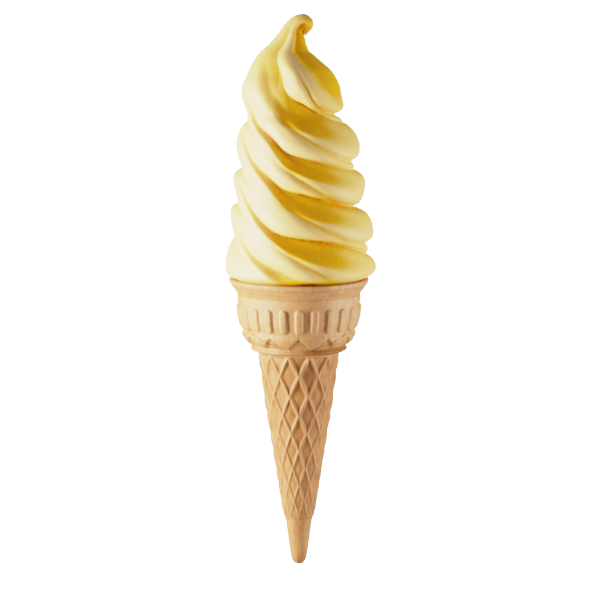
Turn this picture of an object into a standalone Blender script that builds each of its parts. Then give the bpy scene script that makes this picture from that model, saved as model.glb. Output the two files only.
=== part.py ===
import bpy
import numpy as np

# A soft serve cone lying on its back on a table, its best side up: the swirl points to +Y and the
# wafer's tip to -Y.  Lengths are mm.  Heights run along the cone's own axis from the wafer's tip;
# azimuths are degrees round that axis, 0 on the side that faces up and 90 towards +X.

MM = 0.001
LEAN = 6.6              # how far the axis dips towards the swirl's top as the cone lies there
FLAT_DEPTH = 0.8        # depth of the flat spots the swirl rests on

# wafer
RIM_HEIGHT = 118.6
RIM_RADIUS = 28.5
WALL = 2.2
CUP_SIDES = 48
CONE_SIDES = 24
LATTICE_RELIEF = 0.35
LATTICE_TOP = 85.5
LATTICE_FOOT = 20.5
LOZENGE_HEIGHT = 103.5
LOZENGE_RELIEF = 0.7
POINTS_HEIGHT = 93.2
POINTS_RELIEF = 0.4
GAP = 0.5               # clearance between the swirl and the wafer

# swirl
SWIRL_SIDES = 44

# height and radius down the outside of the wafer, from the rim to the ring under the cup
CUP_PROFILE = [(118.6, 28.5), (116.4, 27.9), (114.6, 26.4), (113.0, 25.2), (111.0, 25.2),
               (108.2, 24.9), (103.5, 24.4), (98.8, 23.2), (95.0, 22.1), (93.2, 20.9),
               (91.6, 19.3), (90.8, 19.7), (88.6, 19.6), (87.4, 18.6)]
# how far down the lower cone the rows of crossings come
LATTICE_ROWS = [0, 0.13, 0.253, 0.376, 0.489, 0.603, 0.722, 0.823, 0.92, 1]
TIP_PROFILE = [(19.4, 5.6), (15.9, 5.1), (7.9, 4.0), (2.9, 3.2), (1.0, 2.3)]
LATTICE_PROFILE = [(86.5, 16.6), (66.8, 13.7), (50.5, 11.1), (35.6, 8.8), (22.5, 6.7), (20.5, 6.2)]

# height and radius of the swirl's outline, folds left out
OUTLINE = [(211.3, 9.9), (209.6, 11.4), (208.0, 12.8), (206.3, 14.2), (204.7, 15.6), (202.2, 17.3),
           (199.7, 18.8), (196.5, 20.3), (191.9, 21.4), (183.3, 23.2), (173.9, 25.1), (154.9, 27.4),
           (140.6, 29.4), (124.1, 30.9), (122.0, 30.7), (120.6, 29.8), (119.5, 27.6), (119.1, 25.9),
           (118.6, 25.6)]
# how far the swirl's middle stands off the cone's axis, by height
OFFSET = [(211.3, -5.5), (207.2, -5.1), (203.0, -3.6), (194.8, -2.8), (174.3, -0.6), (154.9, 0.0),
          (139.3, 0.4), (118.6, 0.0)]
# left and right ends of the rings that make the curl, from its hanging end back to the swirl
CURL = [((3.7, 218.5), (2.7, 217.9)), ((4.9, 219.9), (2.6, 218.2)), ((6.0, 221.5), (2.8, 219.1)),
        ((5.9, 223.5), (2.9, 219.7)), ((4.3, 225.5), (2.8, 220.1)), ((1.8, 226.5), (2.5, 220.2)),
        ((-1.0, 226.1), (2.1, 219.9)), ((-3.7, 224.5), (1.6, 219.3)), ((-5.6, 222.6), (1.6, 218.1)),
        ((-7.2, 220.5), (1.9, 217.0)), ((-8.6, 218.5), (2.3, 216.0)), ((-10.5, 216.1), (2.7, 214.3)),
        ((-12.9, 213.7), (3.3, 212.9))]

CURL_END = (3.1, 217.6, 0)

# the deep fold under each ridge, azimuth and height: steep on the -X side, level on the +X side
# where it is the crease between two turns of the coil
FOLDS = [
    [(-180, 338.7), (-90, 309.9), (-60, 289.3), (-20, 268.8), (0, 248.2), (10, 231.8), (20, 220.3),
     (27, 213.3), (30, 210), (33, 206.3), (37, 202.2), (42, 199.1), (48, 197.3), (56, 195.6),
     (72, 193.6), (90, 192.3), (180, 191.5)],
    [(-180, 256.5), (-90, 250.3), (-60, 242.1), (-45, 228.5), (-35, 219.5), (-28, 213.7),
     (-22, 209.2), (-18, 205.5), (-15, 202.2), (-12, 199.3), (-9, 197.1), (-5, 195), (0, 193.4),
     (6.8, 191.9), (12, 191.3), (25, 188.6), (38.5, 186.6), (57, 184.1), (90, 182.1), (180, 182.1)],
    [(-180, 198.9), (-90, 197.7), (-75, 195.6), (-60, 188.8), (-51, 184.9), (-40, 181.6),
     (-30, 178.6), (-22, 175.5), (-15, 172.7), (-7, 171), (0, 170.2), (15, 168.7), (30, 167.1),
     (60, 164.4), (90, 162.8), (180, 164)],
    [(-180, 182.5), (-90, 181.3), (-75, 179.6), (-60, 174.3), (-50, 169.3), (-40, 165.6),
     (-30, 162.3), (-22, 159.3), (-15, 157.3), (-7, 156.2), (0, 155.6), (15, 153.7), (30, 152.1),
     (60, 149.6), (90, 147.8), (180, 146.3)],
    [(-180, 164), (-90, 163.2), (-75, 161.5), (-60, 155.8), (-46, 149.3), (-38, 145.5),
     (-30, 142.2), (-22, 139.7), (-15, 138.4), (-7, 137.7), (0, 137.3), (15, 136.5), (30, 135.2),
     (60, 131.9), (90, 128.2), (180, 128.8)],
    [(-180, 147.5), (-90, 145.5), (-75, 143), (-60, 138.6), (-46, 132.3), (-38, 129.6),
     (-30, 127.4), (-20, 125), (-10, 123), (0, 121), (15, 118.4), (30, 116.3), (60, 113.4),
     (90, 111), (180, 111)],
    [(-180, 129.5), (-90, 127.4), (-75, 124.9), (-60, 119.2), (-46, 111.8), (-30, 106), (0, 101.5),
     (90, 92.9), (180, 92.9)],
]
FOLD_DEPTH = [(-100, 0), (-80, 0.8), (-65, 2), (-50, 3.2), (-35, 4), (-20, 4.4), (0, 4.4),
              (30, 4.4), (60, 4.4), (90, 4.3), (180, 3.6)]
TOP_FOLD_DEPTH = [(-100, 0), (-70, 0.8), (-50, 2.4), (-25, 2.8), (-17, 3), (-9, 3.4), (0, 4),
                  (30, 4.4), (60, 4.4), (90, 4.3), (180, 3.6)]
# shares of the way down to the next fold where the slope up to the crest starts and ends
SLOPE_START = [(-45, 0), (-20, 0.06), (0, 0.18), (20, 0.22)]
SLOPE_END = [(-45, 0.3), (-20, 0.42), (0, 0.52), (20, 0.58), (60, 0.66)]
TOP_SLOPE_START = [(-60, 0.42), (-30, 0.46), (-15, 0.38), (0, 0.25), (20, 0.22)]
TOP_SLOPE_END = [(-60, 0.66), (-30, 0.72), (-15, 0.66), (0, 0.55), (20, 0.58), (60, 0.66)]
# how far a crest stands above the fold under it, and how round the ridge is above and below it
CREST_ABOVE = [(-60, 9), (-30, 7.5), (0, 5.6), (20, 5.3), (45, 6.2), (90, 9), (180, 9.8)]
ROUND_TOP = [(5, 0), (45, 0.6), (90, 1)]
ROUND_FOOT = [(-50, 0.3), (-20, 0.7), (0, 1), (60, 1), (90, 0.35), (180, 0.4)]
# the coil's creases on the -X side and the back
CREASES = [
    [(-180, 191.5), (-90, 201.4), (-40, 195.6)],
    [(-180, 182.1), (-90, 183.1), (-52, 180), (-40, 177.6)],
    [(-180, 164), (-90, 163.6), (-50, 159.1), (-40, 157)],
    [(-180, 146.3), (-90, 149.6), (-50, 144.6), (-40, 142.2)],
    [(-180, 128.8), (-90, 132.3), (-50, 127.4), (-40, 125.4)],
    [(-180, 111), (-90, 114.3), (-40, 108.5)],
]
CREASE_DEPTH = [(-180, 3.6), (-90, 3.7), (-75, 3), (-60, 1.8), (-50, 0.8), (-42, 0)]
CREASE_CREST = [(-180, 0.45), (-90, 0.38)]
CREASE_FOOT = [(-180, 0.5), (-90, 0)]
# the thin groove down the side of each ridge
TOP_GROOVE = [(8, 208), (9, 203.9), (10, 201.8), (14, 199.3), (19, 196), (23, 193.2), (29.5, 190.1),
              (38, 188.2), (60, 186.2), (90, 185.4), (130, 184.9)]
TOP_GROOVE_DEPTH = [(6, 0.9), (12, 1.3), (30, 1.8), (60, 3), (90, 4), (130, 0)]
GROOVE_HEIGHTS = [179.2, 161.5, 146.7, 127.8]
GROOVE_DROP = [(-24, -8), (-17, -5.3), (-8, -2.9), (0, 0), (20, 6), (40, 10.7), (60, 12.7),
               (90, 13.6), (120, 14)]
GROOVE_DEPTH = [(-24, 0), (-15, 0.6), (-5, 1), (5, 1.3), (20, 1.5), (50, 1.9), (90, 2.6), (130, 0)]
GROOVE_WIDTH = 1.5
# the folds of the pointed top: azimuth and share of the radius cut, by height, and the width of
# the slope on each side
TOP_FOLDS = [
    (
        [(203, -50), (207, -46), (209, -38), (211.3, -28), (214, -21), (217, -22), (219.5, -28),
         (223.6, -32), (228, -40)],
        [(203, 0), (207, 0.14), (211, 0.22), (216, 0.17), (220, 0.1), (224, 0.04)],
        26, 13),
    (
        [(192, 72), (196, 60), (199, 46), (203, 37), (207, 33), (211, 36), (215, 33), (217.6, 28),
         (220, 24), (222.5, 10), (224.5, -6), (226, -25), (228, -40)],
        [(192, 0), (196, 0.1), (200, 0.2), (205, 0.3), (212, 0.38), (218, 0.36), (222, 0.26),
         (225, 0.14), (228, 0)],
        15, 26),
    (
        [(199, 112), (207, 104), (215, 108), (228, 112)],
        [(197, 0), (205, 0.12), (211, 0.15), (222, 0.1), (228, 0)],
        18, 18),
    (
        [(199, 174), (207, 166), (228, 166)],
        [(197, 0), (205, 0.12), (211, 0.15), (222, 0.1), (228, 0)],
        18, 18),
    (
        [(199, -104), (207, -112), (215, -120), (228, -128)],
        [(197, 0), (205, 0.12), (211, 0.16), (222, 0.1), (228, 0)],
        18, 18),
]



def through(x, points):
    """The smooth curve through the points, held level past its ends."""
    points = np.array(sorted(points), float)
    px, py = points[:, 0], points[:, 1]
    slope = np.diff(py) / np.diff(px)
    tangent = np.empty_like(py)
    tangent[0], tangent[-1] = slope[0], slope[-1]
    turning = slope[1:] * slope[:-1] <= 0
    total = np.where(turning, 1, slope[1:] + slope[:-1])
    tangent[1:-1] = np.where(turning, 0, 2 * slope[1:] * slope[:-1] / total)
    x = np.clip(x, px[0], px[-1])
    i = np.clip(np.searchsorted(px, x, side="right") - 1, 0, len(px) - 2)
    step = px[i + 1] - px[i]
    t = (x - px[i]) / step
    start = (2 * t ** 3 - 3 * t ** 2 + 1) * py[i] + (t ** 3 - 2 * t ** 2 + t) * step * tangent[i]
    end = (3 * t ** 2 - 2 * t ** 3) * py[i + 1] + (t ** 3 - t ** 2) * step * tangent[i + 1]
    return start + end


def arch(x):
    """0 at the crest and 1 in the fold, round like the side of a rope."""
    return 1 - np.sqrt((1.03 - x ** 2) / 1.03)


def ridge_depth(height, lines, depths, slopes, crests, round_top, round_foot):
    """How deep the skin lies between each fold line and the next one down."""
    deep = np.zeros(height.shape)
    for i in range(len(lines) - 1):
        span = lines[i] - lines[i + 1]
        share = np.clip((lines[i] - height) / span, 0, 1)
        crest = crests(span)
        start, end = slopes[i]
        rise = np.clip((share - start) / (end - start), 0, 1)
        low = (1 - rise * rise * (3 - 2 * rise)) * (1 - 0.12 * share / end)
        up = np.clip(1 - share / crest, 0, 1)
        down = np.clip((share - crest) / (1 - crest), 0, 1)
        top = low * (1 - round_top) + arch(up) * round_top
        foot = down ** 1.7 * (1 - round_foot) + arch(down) * round_foot
        inside = (height <= lines[i]) & (height > lines[i + 1])
        deep = np.where(inside, depths[i] * top + depths[i + 1] * foot, deep)
    return deep


def main_ridge_depth(azimuth, height):
    """The ridges that wind down from the top."""
    lines = [through(azimuth, line) for line in FOLDS]
    depth = through(azimuth, FOLD_DEPTH)
    depths = [0 * depth, through(azimuth, TOP_FOLD_DEPTH)] + [depth] * 5
    above = through(azimuth, CREST_ABOVE)
    top_slope = (through(azimuth, TOP_SLOPE_START), through(azimuth, TOP_SLOPE_END))
    slope = (through(azimuth, SLOPE_START), through(azimuth, SLOPE_END))
    return ridge_depth(height, lines, depths, [top_slope] * 2 + [slope] * 4,
                       lambda span: 1 - above / span, through(azimuth, ROUND_TOP),
                       through(azimuth, ROUND_FOOT))


def coil_crease_depth(azimuth, height):
    """The creases between turns of the coil on the -X side and the back."""
    lines = [through(azimuth, line) for line in CREASES]
    depth = through(azimuth, CREASE_DEPTH) * (azimuth < -42)
    crest = through(azimuth, CREASE_CREST)
    return ridge_depth(height, lines, [0 * depth] + [depth] * 5, [(0, 0.45)] * 5,
                       lambda span: crest, np.ones(height.shape), through(azimuth, CREASE_FOOT))


def groove_at(azimuth, height, line, depth):
    """A thin groove along a line of azimuths and heights."""
    spots = np.array(line, float) * (0.4, 1)
    nearest = np.full(height.shape, 1e6)
    for start, end in zip(spots[:-1], spots[1:]):
        along = end - start
        share = (azimuth * 0.4 - start[0]) * along[0] + (height - start[1]) * along[1]
        share = np.clip(share / (along @ along), 0, 1)
        away = np.hypot(azimuth * 0.4 - start[0] - share * along[0],
                        height - start[1] - share * along[1])
        nearest = np.minimum(nearest, away)
    return depth * np.exp(-(nearest / GROOVE_WIDTH) ** 1.5)


def groove_depth(azimuth, height):
    """All the thin grooves together."""
    depth = groove_at(azimuth, height, TOP_GROOVE, through(azimuth, TOP_GROOVE_DEPTH))
    for start in GROOVE_HEIGHTS:
        line = [(side, start - drop) for side, drop in GROOVE_DROP]
        depth = depth + groove_at(azimuth, height, line, through(azimuth, GROOVE_DEPTH))
    return depth


def top_depth(azimuth, height):
    """The share of the radius the folds of the pointed top cut away."""
    depth = 0
    for line, share, left, right in TOP_FOLDS:
        away = (azimuth - through(height, line) + 180) % 360 - 180
        away = np.where(away < 0, away / left, away / right)
        depth = depth + through(height, share) * np.exp(-np.abs(away) ** 1.6)
    return depth


def eased_step(x, low, high):
    """0 below, 1 above and smooth between."""
    t = np.clip((x - low) / (high - low), 0, 1)
    return t * t * (3 - 2 * t)


def swirl_point(azimuth, height):
    """A point of the swirl's skin below the curl."""
    outline = through(height, OUTLINE)
    folds = main_ridge_depth(azimuth, height) + coil_crease_depth(azimuth, height)
    folds = folds + groove_depth(azimuth, height)
    folds = folds * np.clip((height - 119.6) / 4, 0, 1) * (1 - eased_step(height, 203.5, 211.3))
    radius = outline - folds - outline * top_depth(azimuth, height)
    angle = np.radians(azimuth)
    return np.stack([through(height, OFFSET) + radius * np.sin(angle), height,
                     radius * np.cos(angle)], -1)


def curl_rings():
    """Rings of the curl, from its hanging end back to where it grows out of the swirl."""
    azimuth = np.arange(SWIRL_SIDES) * 360 / SWIRL_SIDES - 180
    angle = np.radians(azimuth)
    rings = []
    for i, ends in enumerate(CURL):
        left, right = np.array(ends)
        height = np.full(azimuth.shape, 228 - i * 1.3)
        reach = np.hypot(*(right - left)) / 2 * (1 - top_depth(azimuth, height))
        across = (right - left) / np.hypot(*(right - left))
        flat = (left + right) / 2 + np.outer(np.sin(angle) * reach, across)
        rings.append(np.column_stack([flat, np.cos(angle) * reach]))
    return rings


def level_ring(height, radius, sides, relief=0.0):
    """A level ring of the standing cone; the relief is one value for each side."""
    angle = np.radians(np.arange(sides) * 360 / sides - 180)
    radii = radius + relief + np.zeros(sides)
    return np.column_stack([radii * np.sin(angle), np.full(sides, height), radii * np.cos(angle)])


def hollow_profile():
    """Height and radius down the wafer's inside, from the rim to the bottom of the hollow."""
    cup = [(RIM_HEIGHT, RIM_RADIUS - 2.3), (116.0, 24.6), (111.0, 25.2 - WALL), (98.8, 23.2 - WALL)]
    cone = [(92.0, 18.0 - WALL), (86.0, 16.6 - WALL), (50.5, 11.1 - WALL), (22.5, 6.7 - WALL)]
    return cup + cone


def swirl_rings():
    """The curl, the coiled body and the plug that fills the wafer."""
    azimuth = np.arange(SWIRL_SIDES) * 360 / SWIRL_SIDES - 180
    rings = curl_rings()
    body = np.append(np.linspace(211.3, 122.0, 56), [120.6, 119.5, 119.1, 118.6])
    for height in body:
        rings.append(swirl_point(azimuth, np.full(azimuth.shape, height)))
    for height, radius in hollow_profile()[1:]:
        rings.append(level_ring(height, radius - GAP, SWIRL_SIDES))
    return rings


def lattice_rings():
    """Crossing ridges: every other point of a ring stands out, shifted by one from ring to ring."""
    rings = []
    raised_sides = []
    for row, share in enumerate(LATTICE_ROWS):
        height = LATTICE_TOP - (LATTICE_TOP - LATTICE_FOOT) * share
        raised = (np.arange(CONE_SIDES) + row) % 2 == 1
        relief = np.where(raised, LATTICE_RELIEF, -LATTICE_RELIEF)
        rings.append(level_ring(height, through(height, LATTICE_PROFILE), CONE_SIDES, relief))
        raised_sides.append(raised)
    return rings, raised_sides


def wafer_rings():
    """Up the inside of the wafer, over the rim and down the outside to the tip.

    Beside each ring stand the sides where its facets are split from upper left to lower right.
    """
    rings = []
    splits = []
    for height, radius in reversed(hollow_profile()):
        sides = CUP_SIDES if height > 90 else CONE_SIDES
        rings.append(level_ring(height, radius, sides))
        splits.append(np.ones(sides, bool))
    even = np.arange(CUP_SIDES) % 2 == 0
    points = np.cos(np.radians(12 * np.arange(CUP_SIDES) * 360 / CUP_SIDES))
    for height, radius in CUP_PROFILE:
        relief = {LOZENGE_HEIGHT: LOZENGE_RELIEF * even, POINTS_HEIGHT: POINTS_RELIEF * points}
        rings.append(level_ring(height, radius, CUP_SIDES, relief.get(height, 0)))
        splits.append(~even if height == LOZENGE_HEIGHT else even)
    rings.append(level_ring(86.6, 16.6, CONE_SIDES))
    splits.append(np.ones(CONE_SIDES, bool))
    lattice, raised_sides = lattice_rings()
    rings += lattice
    splits += raised_sides
    for height, radius in TIP_PROFILE:
        rings.append(level_ring(height, radius, CONE_SIDES))
        splits.append(np.ones(CONE_SIDES, bool))
    return rings, splits


def lay_down(points):
    """Turns points of the standing cone onto its back."""
    dip = np.radians(LEAN)
    x, height, front = np.reshape(points, (-1, 3)).T
    return np.column_stack([x, height * np.cos(dip) + front * np.sin(dip),
                            front * np.cos(dip) - height * np.sin(dip)])


def stitch(upper, lower, split):
    """Triangles between two rings of points; one ring may have twice the points of the other."""
    faces = []
    n = len(upper)
    m = len(lower)
    for i in range(min(n, m)):
        if n == 2 * m:
            c, d, e = upper[2 * i], upper[2 * i + 1], upper[(2 * i + 2) % n]
            a, b = lower[i], lower[(i + 1) % m]
            faces += [(c, a, d), (d, a, b), (d, b, e)]
        elif m == 2 * n:
            c, d, e = lower[2 * i], lower[2 * i + 1], lower[(2 * i + 2) % m]
            a, b = upper[i], upper[(i + 1) % n]
            faces += [(c, d, a), (d, b, a), (d, e, b)]
        else:
            c, d = upper[i], upper[(i + 1) % n]
            a, b = lower[i], lower[(i + 1) % m]
            faces += [(c, a, b), (c, b, d)] if split[i] else [(c, a, d), (d, a, b)]
    return faces


def closed_solid(name, rings, first, last, splits, material):
    """A watertight body skinned over rings, with one point closing each end."""
    points = [first]
    numbers = []
    for ring in rings:
        numbers.append(list(range(len(points), len(points) + len(ring))))
        points.extend(ring)
    points.append(last)
    faces = []
    for i, corner in enumerate(numbers[0]):
        faces.append((0, corner, numbers[0][(i + 1) % len(numbers[0])]))
    for upper, lower, split in zip(numbers, numbers[1:], splits):
        faces += stitch(upper, lower, split)
    for i, corner in enumerate(numbers[-1]):
        faces.append((len(points) - 1, numbers[-1][(i + 1) % len(numbers[-1])], corner))
    mesh = bpy.data.meshes.new(name)
    mesh.from_pydata((np.array(points) * MM).tolist(), [], faces)
    for face in mesh.polygons:
        face.use_smooth = True
    mesh.materials.append(material)
    bpy.context.scene.collection.objects.link(bpy.data.objects.new(name, mesh))


def plain_material(name, colour, roughness):
    material = bpy.data.materials.new(name)
    material.use_nodes = True
    shader = material.node_tree.nodes["Principled BSDF"]
    shader.inputs["Base Color"].default_value = (*colour, 1)
    shader.inputs["Roughness"].default_value = roughness
    return material


def ice_cream_material():
    return plain_material("custard soft serve", (0.83, 0.62, 0.22), 0.5)


def wafer_material():
    return plain_material("baked wafer", (0.72, 0.42, 0.17), 0.75)


def make_cone():
    """Both bodies, laid down together, set on the table and centred over the origin."""
    swirl = [lay_down(ring) for ring in swirl_rings()]
    swirl_ends = [lay_down(CURL_END)[0], lay_down((0, 22.0, 0))[0]]
    wafer, splits = wafer_rings()
    wafer = [lay_down(ring) for ring in wafer]
    wafer_ends = [lay_down((0, 20.8, 0))[0], lay_down((0, 0, 0))[0]]
    everything = np.vstack(swirl + wafer)
    low, high = everything.min(0), everything.max(0)
    shift = np.array([-(low[0] + high[0]) / 2, -(low[1] + high[1]) / 2, -low[2] - FLAT_DEPTH])
    swirl = [ring + shift for ring in swirl]
    for ring in swirl:
        ring[:, 2] = np.maximum(ring[:, 2], 0)
    split = [np.ones(SWIRL_SIDES, bool)] * len(swirl)
    closed_solid("soft_serve", swirl, swirl_ends[0] + shift, swirl_ends[1] + shift, split,
                 ice_cream_material())
    closed_solid("wafer_cone", [ring + shift for ring in wafer], wafer_ends[0] + shift,
                 wafer_ends[1] + shift, splits, wafer_material())


for thing in list(bpy.data.objects):
    bpy.data.objects.remove(thing)
make_cone()
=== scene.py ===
from math import cos, radians, sin

import bpy
import numpy as np
from mathutils import Matrix, Vector


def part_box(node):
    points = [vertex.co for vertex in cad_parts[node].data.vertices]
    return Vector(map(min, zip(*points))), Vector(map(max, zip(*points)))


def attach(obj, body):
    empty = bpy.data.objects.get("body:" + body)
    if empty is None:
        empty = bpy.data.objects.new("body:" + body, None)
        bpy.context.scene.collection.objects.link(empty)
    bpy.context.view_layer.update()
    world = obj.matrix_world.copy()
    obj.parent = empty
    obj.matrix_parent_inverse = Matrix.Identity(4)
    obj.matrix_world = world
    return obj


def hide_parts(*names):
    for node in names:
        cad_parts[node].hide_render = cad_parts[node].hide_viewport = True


# A soft serve cone lying on its back.  Everything is worked out on the standing cone in mm
# (across, height from the wafer's tip, front) and then laid down where the frame's model lies.

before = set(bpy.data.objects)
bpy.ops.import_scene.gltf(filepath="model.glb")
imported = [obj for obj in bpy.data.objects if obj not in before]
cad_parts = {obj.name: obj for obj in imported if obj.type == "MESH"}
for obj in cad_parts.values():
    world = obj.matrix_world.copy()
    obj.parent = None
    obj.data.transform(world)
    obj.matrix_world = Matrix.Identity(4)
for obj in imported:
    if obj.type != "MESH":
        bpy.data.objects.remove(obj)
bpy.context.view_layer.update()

mm = 0.001
overTable = 0.02    # mm, the least height of a point over the table
lean = 6.6          # how far the axis dips towards the swirl's top, in degrees
rim = {"height": 118.6, "radius": 28.5}


def linear(hexColour):
    # sRGB hex to the linear colour that shaders take
    parts = [int(hexColour[i:i + 2], 16) / 255 for i in (1, 3, 5)]
    return tuple(p / 12.92 if p < 0.04045 else ((p + 0.055) / 1.055) ** 2.4 for p in parts) + (1,)


def turned(points):
    # points of the standing cone, dipped as it lies, still in mm
    dip = radians(lean)
    across, height, front = np.reshape(points, (-1, 3)).T
    return np.column_stack([across, height * cos(dip) + front * sin(dip),
                            front * cos(dip) - height * sin(dip)])


waferLow, waferHigh = (np.array(corner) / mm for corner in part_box("wafer_cone"))
tipToTable = np.array([(waferLow[0] + waferHigh[0]) / 2, waferLow[1],
                       waferHigh[2] - turned((0, rim["height"], rim["radius"]))[0][2]])


def laidDown(points):
    return turned(points) + tipToTable


def inPlace(point):
    return Vector((laidDown(point)[0] * mm).tolist())


def through(x, points):
    # the smooth curve through the points, held level past its ends
    points = np.array(sorted(map(tuple, points)), float)
    px, py = points[:, 0], points[:, 1]
    slope = np.diff(py) / np.diff(px)
    tangent = np.empty_like(py)
    tangent[0], tangent[-1] = slope[0], slope[-1]
    turning = slope[1:] * slope[:-1] <= 0
    total = np.where(turning, 1, slope[1:] + slope[:-1])
    tangent[1:-1] = np.where(turning, 0, 2 * slope[1:] * slope[:-1] / total)
    x = np.clip(x, px[0], px[-1])
    i = np.clip(np.searchsorted(px, x, side="right") - 1, 0, len(px) - 2)
    step = px[i + 1] - px[i]
    t = (x - px[i]) / step
    start = (2 * t ** 3 - 3 * t ** 2 + 1) * py[i] + (t ** 3 - 2 * t ** 2 + t) * step * tangent[i]
    end = (3 * t ** 2 - 2 * t ** 3) * py[i + 1] + (t ** 3 - t ** 2) * step * tangent[i + 1]
    return start + end


def easedStep(x, low, high):
    t = np.clip((x - low) / (high - low), 0, 1)
    return t * t * (3 - 2 * t)


def easedDrop(x, low, high):
    # 1 below the low end and 0 above the high end
    return easedStep(-x, -high, -low)


def bell(x, middle, width):
    return np.exp(-((x - middle) / width) ** 2)


def apart(azimuth, middle=0, turn=360):
    # degrees from the middle, or from the nearest of several middles that are a turn apart
    return (azimuth - middle + turn / 2) % turn - turn / 2


# camera and light
camera = {"height": 109.6, "above": 7.6, "distance": 1677, "lens": 246.6, "shift": 0.0018}
lights = {
    "keyWindow": {"side": -71, "up": 0, "away": 329, "size": (90, 260), "power": 4.1,
                  "colour": "#ffffff", "aim": 120},
    "fillCard": {"side": 80, "up": -10, "away": 329, "size": (123, 200), "power": 1.5,
                 "colour": "#ffffff", "aim": 120},
}
roomLight = 0.42
paperLight = 75     # the sun on the paper alone, bright enough to burn it out to white
# how bright tones roll off: they are held to a cream just under white, and only the very
# brightest reach white
shoulder = {"power": 1.7, "white": 8.0, "points": 26, "spacing": 2.2,
            "cream": 0.93, "creamFrom": (0.5, 2.5), "creamUntil": (4, 8)}


def softShoulder():
    # bright tones roll off gently to white instead of clipping, as on film
    settings = bpy.context.scene.view_settings
    settings.view_transform = "Standard"
    settings.use_curve_mapping = True
    mapping = settings.curve_mapping
    mapping.white_level = (shoulder["white"],) * 3
    curve = mapping.curves[3].points
    power, white = shoulder["power"], shoulder["white"]
    top = white / (1 + white ** power) ** (1 / power)
    for i in range(1, shoulder["points"]):
        light = (i / shoulder["points"]) ** shoulder["spacing"] * white
        cream = (shoulder["cream"] - 1) * (1 - easedStep(light, *shoulder["creamUntil"]))
        held = 1 + cream * easedStep(light, *shoulder["creamFrom"])
        curve.new(light / white, float(light / (1 + light ** power) ** (1 / power) / top * held))
    mapping.update()


def pointAt(thing, target):
    # it looks at the target, with the swirl's end of the table upwards
    back = (thing.location - target).normalized()
    side = Vector((0, 1, 0)).cross(back).normalized()
    thing.rotation_euler = Matrix((side, back.cross(side), back)).transposed().to_euler()


def addCamera():
    data = bpy.data.cameras.new("camera")
    data.lens = camera["lens"]
    data.sensor_width = 36
    data.shift_x = camera["shift"]
    data.clip_start = 0.01
    thing = bpy.data.objects.new("camera", data)
    bpy.context.scene.collection.objects.link(thing)
    up = radians(camera["above"])
    thing.location = inPlace((0, camera["height"] + camera["distance"] * sin(up),
                              camera["distance"] * cos(up)))
    pointAt(thing, inPlace((0, camera["height"], 0)))
    bpy.context.scene.camera = thing


def addLight(name, side, up, away, size, power, colour, aim):
    data = bpy.data.lights.new(name, "AREA")
    data.shape = "RECTANGLE"
    data.size, data.size_y = size[0] * mm, size[1] * mm
    data.energy = power
    data.color = linear(colour)[:3]
    thing = bpy.data.objects.new(name, data)
    bpy.context.scene.collection.objects.link(thing)
    level = away * cos(radians(up))
    thing.location = inPlace((level * sin(radians(side)), aim + away * sin(radians(up)),
                              level * cos(radians(side))))
    pointAt(thing, inPlace((0, aim, 0)))
    return thing


def addPaperSun():
    # it shines straight down on the paper, soft enough to leave no hard shadow
    data = bpy.data.lights.new("paperSun", "SUN")
    data.energy = paperLight
    data.angle = radians(80)
    thing = bpy.data.objects.new("paperSun", data)
    bpy.context.scene.collection.objects.link(thing)
    return thing


def addNode(tree, kind, inputs=None, **settings):
    # one node with its settings; an input is a value or the output that feeds it
    node = tree.nodes.new(kind)
    for name, value in settings.items():
        setattr(node, name, value)
    for socket, value in (inputs or {}).items():
        if isinstance(value, bpy.types.NodeSocket):
            tree.links.new(value, node.inputs[socket])
        else:
            node.inputs[socket].default_value = value
    return node


def addRamp(tree, value, stops):
    # a colour ramp through the stops: a place from 0 to 1 and an sRGB hex colour
    node = addNode(tree, "ShaderNodeValToRGB", {"Fac": value})
    ramp = node.color_ramp.elements
    for end in (0, -1):
        ramp[end].position, ramp[end].color = stops[end][0], linear(stops[end][1])
    for position, colour in stops[1:-1]:
        ramp.new(position).color = linear(colour)
    return node


def addWorld():
    # the room: white where the camera sees it, and a weak even light on the object
    world = bpy.data.worlds.new("studio")
    bpy.context.scene.world = world
    world.use_nodes = True
    tree = world.node_tree
    tree.nodes.clear()
    seen = addNode(tree, "ShaderNodeLightPath")
    weak = addNode(tree, "ShaderNodeBackground", {"Color": (1, 1, 1, 1), "Strength": roomLight})
    white = addNode(tree, "ShaderNodeBackground", {"Color": (1, 1, 1, 1), "Strength": 1})
    mix = addNode(tree, "ShaderNodeMixShader", {0: seen.outputs["Is Camera Ray"],
                                                1: weak.outputs[0], 2: white.outputs[0]})
    addNode(tree, "ShaderNodeOutputWorld", {"Surface": mix.outputs[0]})


def newMaterial(name):
    material = bpy.data.materials.new(name)
    material.use_nodes = True
    material.node_tree.nodes.clear()
    return material, material.node_tree


def addFloor():
    # paper gives an even matt ground with no gloss, burnt out to white by its own sun
    mesh = bpy.data.meshes.new("floor")
    half = 6.0      # m, wide enough to have no edge in view
    mesh.from_pydata([(-half, -half, 0), (half, -half, 0), (half, half, 0), (-half, half, 0)], [],
                     [(0, 1, 2, 3)])
    thing = bpy.data.objects.new("floor", mesh)
    bpy.context.scene.collection.objects.link(thing)
    material, tree = newMaterial("matt white paper")
    shader = addNode(tree, "ShaderNodeBsdfDiffuse", {"Color": linear("#f4f4f2")})
    addNode(tree, "ShaderNodeOutputMaterial", {"Surface": shader.outputs[0]})
    mesh.materials.append(material)
    thing.visible_diffuse = False
    thing.visible_glossy = False
    thing.visible_shadow = False
    return thing


def linkLight(light, things, name):
    # the light falls on these things alone
    group = bpy.data.collections.new(name)
    for thing in things:
        group.objects.link(thing)
    light.light_linking.receiver_collection = group


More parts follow.
